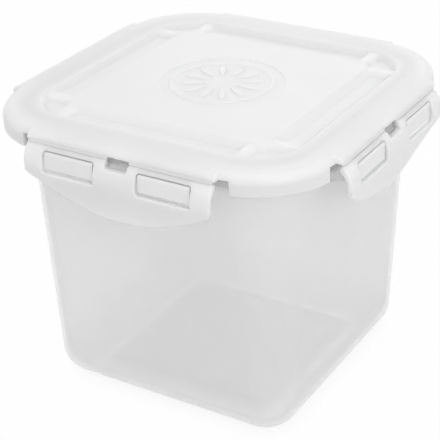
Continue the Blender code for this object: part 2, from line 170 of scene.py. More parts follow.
class FlapSizes(PropertyGroup):
    thick: length("Flap thickness", "Thickness of a flap", 0.002)
    edge: length("Edge rounding", "Rounding of a flap's edges", 0.00045)
    lip_rise: length("Lip rise", "How much higher the lip is at its ends", 0.01567)
    lip_corner: length("Lip corner", "Corner radius at the lip's ends", 0.004)
    window_start: length("Window start", "From the side's middle to a window", 0.0095)
    window_end: length("Window end", "From the side's middle to a window's far end", 0.0336)
    window_top: length("Window top", "From the flap's top edge down to a window", 0.0014)
    window_height: length("Window height", "Height of a window", 0.0089)
    window_corner: length("Window corner", "Corner radius of a window", 0.0013)
    notch_half: length("Notch half width", "Half the width of the middle notch", 0.005)
    notch_depth: length("Notch depth", "Depth of the middle notch", 0.0027)
    notch_corner: length("Notch corner", "Corner radius of the middle notch", 0.0008)


class HingeSizes(PropertyGroup):
    inset: length("Strip inset", "From the CAD strip's inner face in to the strip's face", 0.0001)
    thick: length("Strip thickness", "Thickness of a strip", 0.00045)
    overlap: length("Strip overlap", "How far a strip runs past the CAD strip, up and down", 0.00028)
    edge: length("Strip edge", "Rounding of a strip's edges", 0.00008)


class Finishes(PropertyGroup):
    tub: colour("Tub", "Colour of the tub's plastic", (0.96, 0.96, 0.96))
    lid: colour("Lid", "Colour of the lid's plastic", (0.9, 0.9, 0.9))
    flap: colour("Flap", "Colour of the flaps' plastic", (0.9, 0.9, 0.9))
    web: colour("Hinge", "Colour of the thin hinge strips", (0.9, 0.9, 0.9))
    seal: colour("Seal", "Colour of the silicone seal", (0.86, 0.86, 0.84))
    tub_density: share("Tub density", "How much light one face of the tub stops", 0.3)
    foot_density: share("Foot density", "How much more light the rounding at the foot stops", 0.08)
    tab_density: share("Tab density", "How much light one face of a tab stops", 0.91)
    lid_density: share("Lid density", "How much light one face of the lid stops", 1.0)
    hidden_density: share("Hidden density", "How much light the lid's hidden walls stop", 0.35)
    flap_density: share("Flap density", "How much light one face of a flap stops", 1.0)
    floor: colour("Floor", "Colour of the studio floor", (0.86, 0.86, 0.86))


class StudioSizes(PropertyGroup):
    floor_half: length("Floor half width", "From the middle to the edge of the floor", 3.0)
    floor_white: share("Floor white", "How white the floor looks away from the box", 0.97)
    floor_shadow: share("Floor shadow", "How much less white the floor looks under the box", 0.22)
    sky: share("Sky", "Strength of the light from all around", 0.74)
    azimuth: FloatProperty(name="Azimuth", description="Turn of the camera round the box", default=31.64)
    elevation: FloatProperty(name="Elevation", description="Camera's angle above the floor", default=28.09)
    roll: FloatProperty(name="Roll", description="Tilt of the picture", default=-1.82)
    distance: length("Distance", "From the camera to the middle of the box", 0.5895)
    aim: length("Aim height", "Height that the camera looks at", 0.0632)
    lens: FloatProperty(name="Lens", description="Focal length in millimetres", default=110.88)
    shift_x: FloatProperty(name="Shift across", description="Sideways shift of the frame", default=-0.0151)
    shift_y: FloatProperty(name="Shift up", description="Upward shift of the frame", default=-0.0003)


class FoodBox(PropertyGroup):
    tub: PointerProperty(type=TubSizes)
    tab: PointerProperty(type=TabSizes)
    lid: PointerProperty(type=LidSizes)
    seal: PointerProperty(type=SealSizes)
    emblem: PointerProperty(type=EmblemSizes)
    flap: PointerProperty(type=FlapSizes)
    hinge: PointerProperty(type=HingeSizes)
    finish: PointerProperty(type=Finishes)
    studio: PointerProperty(type=StudioSizes)


def box():
    return bpy.context.scene.food_box


# Node building
class Value:
    """A node's output that takes part in sums; numbers on either side work."""

    def __init__(self, nodes, socket):
        self.nodes = nodes
        self.socket = socket

    def __add__(self, other):
        return self.nodes.maths("ADD", self, other)

    __radd__ = __add__

    def __mul__(self, other):
        return self.nodes.maths("MULTIPLY", self, other)

    __rmul__ = __mul__

    def __sub__(self, other):
        return self.nodes.maths("SUBTRACT", self, other)

    def __rsub__(self, other):
        return self.nodes.maths("SUBTRACT", other, self)

    def __truediv__(self, other):
        return self.nodes.maths("DIVIDE", self, other)

    def __rtruediv__(self, other):
        return self.nodes.maths("DIVIDE", other, self)

    def clamp(self):
        return self.nodes.maths("MINIMUM", self.nodes.maths("MAXIMUM", self, 0.0), 1.0)


class Nodes:
    """Adds nodes to one tree; their sockets take plain values or other nodes' Values."""

    def __init__(self, tree):
        self.tree = tree

    def put(self, socket, value):
        if isinstance(value, Value):
            self.tree.links.new(value.socket, socket)
        else:
            socket.default_value = value

    def node(self, kind, settings=None, *values, output=0, **sockets):
        """A new node's output. Its settings come first, then its sockets in order, then those with a name."""
        made = self.tree.nodes.new(kind)
        for label, setting in (settings or {}).items():
            if label == "stops":
                self.set_stops(made.color_ramp, setting)
            else:
                setattr(made, label, setting)
        for place, value in enumerate(values):
            self.put(made.inputs[place], value)
        for label, value in sockets.items():
            self.put(made.inputs[label.replace("_", " ")], value)
        return Value(self, made.outputs[output])

    def set_stops(self, ramp, stops):
        """Sets a new ramp's two stops."""
        for stop, (position, level) in zip(ramp.elements, stops):
            stop.position = position
            stop.color = (level, level, level, 1.0)

    def maths(self, operation, *values):
        return self.node("ShaderNodeMath", {"operation": operation}, *values)

    def white_to_the_eye(self, shader, share_white):
        """The shader, mixed towards plain white for the camera's rays and those that gloss and glass send."""
        camera, glossy, glass = (
            self.node("ShaderNodeLightPath", output="Is " + kind + " Ray")
            for kind in ("Camera", "Glossy", "Transmission")
        )
        seen = self.maths("MAXIMUM", camera, self.maths("MAXIMUM", glossy, glass))
        white = self.node("ShaderNodeEmission", None, Color=(1.0, 1.0, 1.0, 1.0))
        return self.node("ShaderNodeMixShader", None, seen * share_white, shader, white)


class Finish(Nodes):
    """One material, built from its Principled shader back."""

    def __init__(self, name, roughness, ior=1.49, **constants):
        self.material = bpy.data.materials.new(name)
        self.material.use_nodes = True
        super().__init__(self.material.node_tree)
        self.shader = self.tree.nodes["Principled BSDF"]
        for label, value in {"Roughness": roughness, "IOR": ior, **constants}.items():
            self.feed(label.replace("_", " "), value)

    def feed(self, label, value):
        self.put(self.shader.inputs[label], value)

    def place(self):
        return self.node("ShaderNodeTexCoord", output="Object")

    def stretched(self, scale):
        return self.node("ShaderNodeMapping", None, Vector=self.place(), Scale=scale)

    def noise(self, scale, detail=2.0, where=None):
        return self.node("ShaderNodeTexNoise", None, Vector=where or self.place(), Scale=scale, Detail=detail)

    def vector(self, operation, *values, output=0):
        return self.node("ShaderNodeVectorMath", {"operation": operation}, *values, output=output)

    def reach_mask(self, start, end):
        """0 within start of the middle and 1 past end, measured along the lid's rounded square."""
        centre = box().lid.half - box().lid.corner
        past = self.vector("SUBTRACT", self.vector("ABSOLUTE", self.place()), (centre, centre, 0.0))
        flat = self.vector("MULTIPLY", self.vector("MAXIMUM", past, (0.0, 0.0, 0.0)), (1.0, 1.0, 0.0))
        reach = self.vector("LENGTH", flat, output=1) + centre
        return self.node("ShaderNodeMapRange", None, Value=reach, From_Min=start, From_Max=end)

    def height_mask(self, start, end):
        """0 at the height start, 1 at the height end."""
        height = self.node("ShaderNodeSeparateXYZ", None, self.place(), output=2)
        return self.node("ShaderNodeMapRange", None, Value=height, From_Min=start, From_Max=end)

    def tint(self, colour, darker, mask):
        """The colour, moved towards a darker shade of itself where the mask is high."""
        mixed = self.node("ShaderNodeMix", {"data_type": "RGBA"}, mask, output=2)
        mixer = mixed.socket.node
        self.put(mixer.inputs[6], (*colour, 1.0))
        self.put(mixer.inputs[7], (*(channel * darker for channel in colour), 1.0))
        self.feed("Base Color", mixed)

    def bump(self, height, distance):
        self.feed("Normal", self.node("ShaderNodeBump", None, Distance=distance, Height=height))


# Milky plastic's patterns, in waves to the metre
CLOUD_WAVES = 38.0
FLOW_WAVES = 16.0
SCUFF_WAVES = 420.0
GRAIN_WAVES = 2600.0
# Depths of its bump and of the light that spreads in it, and the width over which its density changes
GRAIN_DEPTH = 0.00006
SPREAD_DEPTH = 0.005
FADE = 0.001
# Heights between which the rounding at the foot grows denser
FOOT_FADE = (0.02, 0.008)
# How far under the lid's top its hidden walls start
WALLS_DROP = 0.003
# Silicone's patterns, in waves to the metre, and the depth of its bump
DUST_WAVES = 900.0
MOTTLE_WAVES = 60.0
DUST_DEPTH = 0.00005


def milky_plastic(name, colour, density, roughness=0.34, grain=0.3, spread=0.0, tabs=False, thin_walls=False):
    """Natural polypropylene: cloudy, thin-walled, with a fine moulded grain, flow marks and light scuffs.

    With tabs, what stands out past the tub's flange is thicker, so it stops more light, and whiter: it is
    left out of the cloudy darkening, a painted lightening against the shade that the tabs sit in behind
    the flaps' windows. The rounding at the foot is a little denser. With thin_walls, the lid's hidden
    walls that hang into the rim let light through as the tub does.
    """
    finish = Finish(name, roughness, Subsurface_Weight=spread, Subsurface_Scale=SPREAD_DEPTH)
    finish.feed("Subsurface Radius", (1.0, 1.0, 1.0))
    cloud = finish.noise(CLOUD_WAVES, detail=3.0)
    flow = finish.noise(FLOW_WAVES, where=finish.stretched((1.0, 1.0, 0.25)))
    scratches = finish.noise(SCUFF_WAVES, detail=4.0, where=finish.stretched((1.0, 0.12, 1.0)))
    scuff = finish.node("ShaderNodeValToRGB", {"stops": ((0.6, 0.0), (0.72, 1.0))}, scratches)
    fine = finish.noise(GRAIN_WAVES)
    cover = density + 0.06 * (flow - 0.5)
    shade = cloud * 0.7 + flow * 0.5 - 0.2
    if tabs:
        flange = box().tub.flange_half
        thick = finish.reach_mask(flange, flange + FADE)
        cover = cover + (box().finish.tab_density - density) * thick
        cover = cover + box().finish.foot_density * finish.height_mask(*FOOT_FADE)
        # Painted lightening: the tabs are left out of the cloudy darkening, so that they look lighter in the
        # shade behind the flaps' windows
        shade = shade * (1.0 - thick)
    if thin_walls:
        walls = box().lid.keeper_half + box().lid.keeper_wall + FADE
        inside = 1.0 - finish.reach_mask(walls, walls + FADE)
        below = finish.height_mask(LID_TOP - WALLS_DROP, LID_TOP - WALLS_DROP * 1.2)
        cover = cover - (density - box().finish.hidden_density) * below * inside
    finish.tint(colour, 0.96, shade.clamp())
    finish.feed("Roughness", (roughness + 0.06 * scuff + 0.1 * (cloud - 0.5)).clamp())
    if density < 1.0 or thin_walls:
        finish.feed("Alpha", cover.clamp())
    finish.bump(fine * grain + cloud * 0.25 + 0.1 * scuff, GRAIN_DEPTH)
    return finish.material


def silicone(name, colour):
    """Soft clear silicone: matt, a little dusty, with faint mottling."""
    finish = Finish(name, 0.5, ior=1.41)
    dust = finish.noise(DUST_WAVES, detail=3.0)
    finish.tint(colour, 0.92, dust)
    finish.feed("Roughness", 0.42 + 0.2 * dust)
    finish.feed("Alpha", (0.86 + 0.1 * finish.noise(MOTTLE_WAVES)).clamp())
    finish.bump(dust, DUST_DEPTH)
    return finish.material


# Mesh building
def settle(thing):
    """Bakes a piece's modifiers into a plain mesh."""
    graph = bpy.context.evaluated_depsgraph_get()
    mesh = bpy.data.meshes.new_from_object(thing.evaluated_get(graph), depsgraph=graph)
    if not mesh.polygons:
        raise RuntimeError(thing.name + " came out empty")
    thing.modifiers.clear()
    thing.data = mesh
    return thing


def outwards(thing):
    """Merges points that meet and turns every face outwards."""
    bm = bmesh.new()
    bm.from_mesh(thing.data)
    bmesh.ops.remove_doubles(bm, verts=bm.verts, dist=WELD)
    bmesh.ops.recalc_face_normals(bm, faces=bm.faces)
    bm.to_mesh(thing.data)
    bm.free()
    return thing


def new_piece(name, points=(), faces=()):
    mesh = bpy.data.meshes.new(name)
    mesh.from_pydata(points, [], faces)
    thing = bpy.data.objects.new(name, mesh)
    bpy.context.scene.collection.objects.link(thing)
    return thing


def smooth_shade(thing, angle, weighted=True):
    thing.data.shade_smooth()
    thing.data.set_sharp_from_angle(angle=math.radians(angle))
    if weighted:
        step = thing.modifiers.new("weighted", "WEIGHTED_NORMAL")
        step.keep_sharp = True
        settle(thing)
    return thing


def soften(thing, width, segments, angle=30.0):
    """Rounds every edge that is sharper than the angle."""
    step = thing.modifiers.new("soft edges", "BEVEL")
    step.width = width
    step.segments = segments
    step.limit_method = "ANGLE"
    step.angle_limit = math.radians(angle)
    settle(thing)


def cut(target, tool, operation="DIFFERENCE"):
    step = target.modifiers.new("cut", "BOOLEAN")
    step.object = tool
    step.operation = operation
    step.solver = "EXACT"
    bpy.context.view_layer.update()
    settle(target)
    bpy.data.objects.remove(tool, do_unlink=True)


def ride_and_dress(thing, body, slot, material, *replaced):
    thing.data.materials.clear()
    thing.data.materials.append(material)
    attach(thing, body)
    if replaced:
        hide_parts(*replaced)


def rounded(corners, steps):
    """A polyline with its corners rounded. Each corner is (across, height, radius), and may have radius 0."""
    line = []
    last = len(corners) - 1
    for place, (x, z, radius) in enumerate(corners):
        here = np.array((x, z))
        if place in (0, last) or radius == 0.0:
            line.append(here)
            continue
        before = np.array(corners[place - 1][:2]) - here
        after = np.array(corners[place + 1][:2]) - here
        before /= np.linalg.norm(before)
        after /= np.linalg.norm(after)
        half = math.acos(np.clip(before @ after, -1.0, 1.0)) / 2
        bisector = (before + after) / np.linalg.norm(before + after)
        centre = here + bisector * radius / math.sin(half)
        reach = radius / math.tan(half)
        start = here + before * reach - centre
        end = here + after * reach - centre
        turn = math.pi - 2 * half
        for step in range(steps + 1):
            part = step / steps
            mixed = (start * math.sin((1 - part) * turn) + end * math.sin(part * turn)) / math.sin(turn)
            line.append(centre + mixed)
    return line


def fill_in(line, spacing):
    """The same polyline with points added so that no step is longer than the spacing."""
    filled = [line[0]]
    for start, end in zip(line, line[1:]):
        count = max(1, math.ceil(np.linalg.norm(end - start) / spacing))
        filled += [start + (end - start) * step / count for step in range(1, count + 1)]
    return filled


def ease(part):
    """A smooth step from 0 to 1."""
    part = np.clip(part, 0.0, 1.0)
    return part * part * (3 - 2 * part)


class Stations:
    """Places round a rounded square, anticlockwise from the left end of the front side."""

    def __init__(self, side_shares, corner_angles):
        shares = []
        angles = []
        for _ in SIDES:
            for share_along in side_shares:
                shares.append(share_along)
                angles.append(0.0)
            for angle in corner_angles:
                shares.append(1.0)
                angles.append(angle)
        self.share = np.array(shares)
        self.angle = np.array(angles)
        self.turn = np.repeat(np.arange(4), len(side_shares) + len(corner_angles)) * QUARTER
        self.count = len(shares)

    def ring(self, half, corner, z):
        """One ring; half, corner and z may be numbers or one value for each station."""
        half = np.broadcast_to(half, self.count)
        corner = np.broadcast_to(corner, self.count)
        straight = half - corner
        x = straight * self.share + corner * np.sin(self.angle)
        y = -(straight + corner * np.cos(self.angle))
        cos, sin = np.cos(self.turn), np.sin(self.turn)
        return np.stack((x * cos - y * sin, x * sin + y * cos, np.broadcast_to(z, self.count)), 1)


def skin(name, rings):
    """Skins a run of rings into a mesh, with a cap at each end."""
    rings = np.array(rings)
    rows, count = rings.shape[:2]
    first = np.arange(rows * count).reshape(rows, count)
    low, high = first[:-1], first[1:]
    faces = np.stack((low, np.roll(low, -1, 1), np.roll(high, -1, 1), high), 2).reshape(-1, 4).tolist()
    faces += [first[0, ::-1].tolist(), first[-1].tolist()]
    return outwards(new_piece(name, rings.reshape(-1, 3).tolist(), faces))


def extrude_outline(name, outline, start, end, axis="x"):
    """A closed prism from start to end along x or y, on an outline of (across, height) points."""
    points = []
    for along in (start, end):
        if axis == "x":
            points += [(along, -across, z) for across, z in outline]
        else:
            points += [(across, along, z) for across, z in outline]
    count = len(outline)
    faces = [list(range(count)), list(range(2 * count - 1, count - 1, -1))]
    for place in range(count):
        after = (place + 1) % count
        faces.append([place, place + count, after + count, after])
    return outwards(new_piece(name, points, faces))


def arc(centre, radius, start, end, steps):
    angles = np.linspace(start, end, steps + 1)
    return [(centre[0] + radius * math.cos(a), centre[1] + radius * math.sin(a)) for a in angles]


class Pattern(Nodes):
    """A Geometry Nodes tree with named inputs that ends in Realize Instances and Set Material."""

    KINDS = {int: "NodeSocketInt", float: "NodeSocketFloat", bpy.types.Material: "NodeSocketMaterial"}

    def __init__(self, name, **inputs):
        super().__init__(bpy.data.node_groups.new(name, "GeometryNodeTree"))
        self.values = {}
        self.add_input("Geometry", "NodeSocketGeometry")
        for label, value in inputs.items():
            identifier = self.add_input(label.replace("_", " "), self.KINDS[type(value)])
            self.values[identifier] = value
        self.tree.interface.new_socket("Geometry", in_out="OUTPUT", socket_type="NodeSocketGeometry")
        self.start = self.tree.nodes.new("NodeGroupInput")

    def add_input(self, label, kind):
        return self.tree.interface.new_socket(label, in_out="INPUT", socket_type=kind).identifier

    def read(self, label):
        return Value(self, self.start.outputs[label.replace("_", " ")])

    def copies(self, points, angle):
        """A copy of the piece at each point, turned by the angle."""
        spin = self.node("ShaderNodeCombineXYZ", None, Z=angle)
        piece = self.read("Geometry")
        return self.node("GeometryNodeInstanceOnPoints", None, Points=points, Instance=piece, Rotation=spin)

    def apply(self, geometry, thing):
        """Ends the tree with the geometry, and makes the piece a plain mesh of what the tree gives."""
        real = self.node("GeometryNodeRealizeInstances", None, geometry)
        painted = self.node("GeometryNodeSetMaterial", None, real, Material=self.read("Material"))
        self.put(self.tree.nodes.new("NodeGroupOutput").inputs[0], painted)
        step = thing.modifiers.new("nodes", "NODES")
        step.node_group = self.tree
        for identifier, value in self.values.items():
            step[identifier] = value
        bpy.context.view_layer.update()
        return settle(thing)


# Heights of the wall's rings, as shares of the rim's height
WALL_SHARES = (0.25, 0.45, 0.65, 0.85)


def tub_section(sizes):
    """Rings of the tub as (half width, corner radius, height), from under the floor round to its top."""

    def wall(z, inset):
        part = z / RIM_HEIGHT
        half = sizes.foot_half + (sizes.rim_half - sizes.foot_half) * part - inset
        corner = sizes.foot_corner + (sizes.rim_corner - sizes.foot_corner) * part - inset
        return half, max(corner, sizes.foot_ring * 2 / 3)

    def rounding(radius, base, inset):
        made = []
        for angle in np.linspace(0.0, QUARTER, ARC_POINTS):
            z = base + radius * (1 - math.cos(angle))
            made.append((*wall(z, inset + radius * (1 - math.sin(angle))), z))
        return made

    flat, corner = wall(0.0, sizes.foot_round)
    ring_in = flat - sizes.foot_ring
    soft, fillet, inside_run = 0.0005, 0.0004, 0.004
    recess_line = rounded(
        [
            (ring_in * 0.4, sizes.foot_recess, 0.0),
            (ring_in - soft, sizes.foot_recess, soft),
            (ring_in, 0.0, fillet),
            (flat, 0.0, 0.0),
        ],
        3,
    )
    flange_top = RIM_HEIGHT - sizes.flange_drop
    under = flange_top - sizes.flange_thick
    inner = sizes.rim_half - sizes.wall
    rim_line = rounded(
        [
            (wall(under - MARGIN, 0.0)[0], under - MARGIN, 0.0),
            (wall(under, 0.0)[0], under, sizes.rim_round),
            (sizes.flange_half, under, sizes.flange_round),
            (sizes.flange_half, flange_top, sizes.flange_round),
            (sizes.rim_half, flange_top, fillet),
            (sizes.rim_half, RIM_HEIGHT, sizes.rim_round),
            (inner, RIM_HEIGHT, sizes.rim_round),
            (inner, RIM_HEIGHT - inside_run, 0.0),
        ],
        4,
    )
    centre = sizes.rim_half - sizes.rim_corner
    heights = [RIM_HEIGHT * part for part in WALL_SHARES]
    rings = [(half, corner * half / ring_in, z) for half, z in recess_line[:-1]]
    rings += rounding(sizes.foot_round, 0.0, 0.0)
    rings += [(*wall(z, 0.0), z) for z in heights]
    rings += [(half, half - centre, z) for half, z in rim_line]
    rings += [(*wall(z, sizes.wall), z) for z in reversed(heights)]
    rings += reversed(rounding(sizes.foot_round - sizes.wall, sizes.foot_recess + sizes.floor, sizes.wall))
    return rings


class FOODBOX_OT_tub(Operator):
    """Builds the tapered tub with its foot ring, rim flange and eight locking tabs"""

    bl_idname = "foodbox.tub"
    bl_label = "Build Tub"

    def execute(self, context):
        places = Stations(np.linspace(-1.0, 1.0, 13)[:-1], np.linspace(0.0, QUARTER, 21)[:-1])
        tub = skin("tub_shell", [places.ring(*ring) for ring in tub_section(box().tub)])
        finish = box().finish
        plastic = milky_plastic(
            "tub_milky", finish.tub, finish.tub_density, roughness=0.3, grain=0.1, spread=0.3, tabs=True
        )
        cut(tub, self.tabs(box().tab, plastic), "UNION")
        smooth_shade(tub, 30.0)
        ride_and_dress(tub, "tub", "tub_plastic", plastic, "tub")
        return {"FINISHED"}

    def tabs(self, sizes, plastic):
        """One bevelled tab, repeated along the four sides by Geometry Nodes."""
        tab = self.tab(sizes)
        tree = Pattern("Tabs on four sides", Tabs=2 * len(SIDES), Place=sizes.middle, Material=plastic)
        points = tree.node("GeometryNodePoints", None, Count=tree.read("Tabs"))
        index = tree.node("GeometryNodeInputIndex")
        across = (tree.maths("MODULO", index, 2.0) * 2.0 - 1.0) * tree.read("Place")
        angle = tree.maths("FLOOR", index / 2.0) * QUARTER
        offset = tree.node("ShaderNodeCombineXYZ", None, X=across)
        turned = tree.node("ShaderNodeVectorRotate", {"rotation_type": "Z_AXIS"}, Vector=offset, Angle=angle)
        placed = tree.node("GeometryNodeSetPosition", None, points, Position=turned)
        return tree.apply(tree.copies(placed, angle), tab)

    def tab(self, sizes):
        """A tab in the middle of the front side: a plate, a hooked lip and a wall at each end."""
        root = box().tub.rim_half - box().tub.wall * 0.5
        top = RIM_HEIGHT - sizes.drop
        inner = TAB_TIP - sizes.lip
        half = sizes.width * 0.5
        outline = [
            (root, top),
            (TAB_TIP - sizes.bevel, top),
            (TAB_TIP, top - sizes.bevel),
            (TAB_TIP, sizes.low + sizes.hook_rise),
            (TAB_TIP - sizes.hook_run, sizes.low),
            (inner, sizes.low),
            (inner, top - sizes.plate),
            (root, top - sizes.plate),
        ]
        tab = extrude_outline("tab", outline, -half, half)
        high = top - sizes.plate * 0.5
        low = sizes.low + sizes.hook_rise * 0.6
        sunk = inner + sizes.bevel
        cheek = [(root, high), (sunk, high), (sunk, low), (inner, low), (root, low - sizes.cheek_fall)]
        for side in (-1, 1):
            edge = side * (half - sizes.bevel)
            start, end = sorted((edge, edge - side * sizes.cheek))
            cut(tab, extrude_outline("cheek", cheek, start, end), "UNION")
        soften(tab, sizes.edge, 2)
        return tab


def lid_angles(sizes):
    """Where the hinge bar ends and where the corner skirt starts, as angles round the lid's corner."""
    centre = sizes.half - sizes.corner
    bar = math.atan((sizes.bar_end - centre) / (BAR_FACE - centre))
    skirt = math.atan((sizes.notch_end - centre) / (sizes.half - centre))
    return bar, skirt


def groove_rows(sizes, places):
    """Rings from the panel's edge across the sunk groove, which has a bridge at each end of each side."""
    floor = LID_TOP - sizes.groove_depth
    shoulder = 0.0014
    line = rounded(
        [
            (sizes.panel_half - MARGIN * 0.4, LID_TOP, 0.0),
            (sizes.panel_half, LID_TOP, sizes.panel_round),
            (sizes.panel_half + sizes.panel_slope, floor, sizes.groove_round),
            (sizes.groove_outer - sizes.groove_slope, floor, sizes.groove_round * 0.75),
            (sizes.groove_outer, LID_TOP, sizes.groove_round),
            (sizes.groove_outer + shoulder, LID_TOP, 0.0),
        ],
        4,
    )
    rows = []
    for half, z in fill_in(line, sizes.bridge_slope / 3):
        ring = places.ring(half, half - (sizes.half - sizes.corner), z)
        near = np.abs(np.abs(ring[:, :2]) - sizes.bridge_at).min(1)
        on = ease((sizes.bridge_half - near) / sizes.bridge_slope + 0.5)
        ring[:, 2] += on * np.maximum(LID_TOP - sizes.bridge_drop - ring[:, 2], 0.0)
        rows.append(ring)
    return rows


def edge_rows(sizes, places):
    """Rings over the lid's outer edge, where hinge bars, notches and corner skirts follow each other.

    The three sections have as many points each, so that each can turn into the next.
    """
    centre = sizes.half - sizes.corner
    under = LID_TOP - sizes.thick
    fine = sizes.fine_round
    root = (sizes.keeper_half + sizes.keeper_wall, under)
    bar_start = BAR_FACE - sizes.bar_round
    edge_start = sizes.half - sizes.edge_round
    step = 0.0002
    notch_low = sizes.bar_bottom + step
    notch_cos = (notch_low - LID_TOP + sizes.edge_round) / sizes.edge_round
    notch_out = edge_start + sizes.edge_round * math.sqrt(1 - notch_cos ** 2)
    skirt_low = LID_TOP - sizes.skirt_depth
    skirt_in = sizes.half - sizes.skirt_wall

    def section(start, across, down, angle, tail):
        """An arc from the lid's top through the angle, and then a bevelled tail in to the keeper wall."""
        turns = np.linspace(0.0, angle, ARC_POINTS)
        line = [(start + across * math.sin(turn), LID_TOP - down * (1 - math.cos(turn))) for turn in turns]
        corners = [(*line[-1], 0.0)] + tail + [(*root, 0.0)]
        return line[:-1] + rounded(corners, 3)

    bar = section(
        bar_start,
        sizes.bar_round,
        LID_TOP - sizes.bar_bottom - fine,
        QUARTER,
        [
            (BAR_FACE, sizes.bar_bottom, fine),
            (BAR_FACE - sizes.thick * 2, sizes.bar_bottom, fine),
            (bar_start, under, 0.0),
        ],
    )
    notch = section(
        edge_start,
        sizes.edge_round,
        sizes.edge_round,
        math.acos(notch_cos + fine / sizes.edge_round),
        [
            (notch_out, notch_low, fine * 0.7),
            (skirt_in - step * 11, notch_low, fine),
            (root[0] + step * 6, under - step * 2.5, 0.0),
        ],
    )
    skirt = section(
        edge_start,
        sizes.edge_round,
        sizes.edge_round,
        QUARTER,
        [
            (sizes.half, skirt_low, fine * 1.6),
            (skirt_in, skirt_low, fine),
            (skirt_in, LID_TOP - sizes.edge_round, 0.0),
        ],
    )
    # How far each station has left the bar, and how far it has come into the corner skirt
    along = np.minimum(places.angle, QUARTER - places.angle)
    bar_angle, skirt_angle = lid_angles(sizes)
    rise = math.radians(0.6)
    past_bar = ease((along - bar_angle) / (2.5 * rise))
    in_skirt = ease((along - skirt_angle) / rise)
    stretch = 1 / np.cos(np.minimum(along, bar_angle + rise))
    start = edge_start - MARGIN
    rows = [places.ring(start, start - centre, LID_TOP)]
    for on_bar, on_notch, on_skirt in zip(bar[:-1], notch, skirt):
        half = centre + (on_bar[0] - centre) * stretch
        half = half + (on_notch[0] - half) * past_bar + (on_skirt[0] - on_notch[0]) * in_skirt
        z = on_bar[1] + (on_notch[1] - on_bar[1]) * past_bar + (on_skirt[1] - on_notch[1]) * in_skirt
        rows.append(places.ring(half, half - centre, z))
    rows.append(places.ring(root[0], root[0] - centre, root[1]))
    return rows


def underside_rows(sizes, places):
    """Rings under the lid: keeper wall, seal channel, plug wall and the groove's underside."""
    centre = sizes.half - sizes.corner
    under = LID_TOP - sizes.thick
    groove_under = under - sizes.groove_depth
    plug_low = LID_TOP - sizes.plug_depth
    plug_in = sizes.plug_half - sizes.plug_wall
    keeper_out = sizes.keeper_half + sizes.keeper_wall
    edge, inner, plug_edge, deep = 0.0005, 0.0004, 0.0006, 0.0008
    line = rounded(
        [
            (keeper_out, under - inner / 2, 0.0),
            (keeper_out, sizes.keeper_low, edge),
            (sizes.keeper_half, sizes.keeper_low, edge),
            (sizes.keeper_half, under, inner),
            (sizes.plug_half, under, inner),
            (sizes.plug_half, plug_low, plug_edge),
            (plug_in, plug_low, plug_edge),
            (plug_in, under, inner),
            (sizes.groove_outer + deep, under, edge),
            (sizes.groove_outer - 2 * deep, groove_under, deep),
            (sizes.panel_half + sizes.panel_slope - deep, groove_under, deep),
            (sizes.panel_half - deep, under, deep),
            (sizes.panel_half - MARGIN, under, 0.0),
        ],
        3,
    )
    return [places.ring(half, half - centre, z) for half, z in line]


def dish_rows(sizes, lid, places):
    """Rings inside the panel, from the middle of the emblem's dish out to the panel's edge."""
    inner = lid.panel_half - MARGIN
    edge = places.ring(inner, inner - (lid.half - lid.corner), LID_TOP)
    angles = np.arctan2(edge[:, 1], edge[:, 0])
    low = LID_TOP - sizes.depth
    ring_low = sizes.ring_at - sizes.ring_width * 0.5
    ring_high = sizes.ring_at + sizes.ring_width * 0.5
    soft, ring_soft, past_edge = 0.0003, 0.0002, 0.001
    line = rounded(
        [
            (sizes.ring_width * 0.5, low, 0.0),
            (ring_low - sizes.slope, low, soft),
            (ring_low, LID_TOP, ring_soft),
            (ring_high, LID_TOP, ring_soft),
            (ring_high + sizes.slope, low, soft),
            (sizes.radius - sizes.slope, low, soft),
            (sizes.radius, LID_TOP, soft),
            (sizes.radius + past_edge, LID_TOP, 0.0),
        ],
        3,
    )
    rows = []
    for radius, z in line:
        rows.append(np.stack((radius * np.cos(angles), radius * np.sin(angles), np.full(places.count, z)), 1))
    circle = rows[-1]
    rows += [circle + (edge - circle) * part for part in (0.35, 0.7, 1.0)]
    return rows


class FOODBOX_OT_lid(Operator):
    """Builds the lid with its panel, ring groove, hinge bars, corner skirts, plug and keeper walls"""

    bl_idname = "foodbox.lid"
    bl_label = "Build Lid"

    def execute(self, context):
        sizes = box().lid
        places = self.stations(sizes)
        rows = dish_rows(box().emblem, sizes, places) + groove_rows(sizes, places)
        lid = skin("lid_shell", rows + edge_rows(sizes, places) + underside_rows(sizes, places))
        smooth_shade(lid, 50.0)
        finish = box().finish
        plastic = milky_plastic(
            "lid_milky", finish.lid, finish.lid_density, grain=0.8, spread=0.7, thin_walls=True
        )
        ride_and_dress(lid, "lid", "lid_plastic", plastic, "lid")
        return {"FINISHED"}

    def stations(self, sizes):
        """Stations that stand closest where a hinge bar ends and a corner skirt starts."""
        wide_step, close_step, least_step = 1.5, 0.15, 0.05
        end = np.linspace(0.96, 1.0, 5)
        shares = np.concatenate((-end[::-1], np.linspace(-0.9, 0.9, 19), end))
        starts = np.degrees(lid_angles(sizes))
        close = [start + close_step * place for start in starts for place in range(11)]
        every = sorted({*np.arange(0.0, 45.0, wide_step), *close})
        angles = [angle for before, angle in zip(every, every[1:]) if angle - before > least_step]
        angles += [45.0] + [90.0 - angle for angle in reversed(angles)]
        return Stations(shares, np.radians(angles))


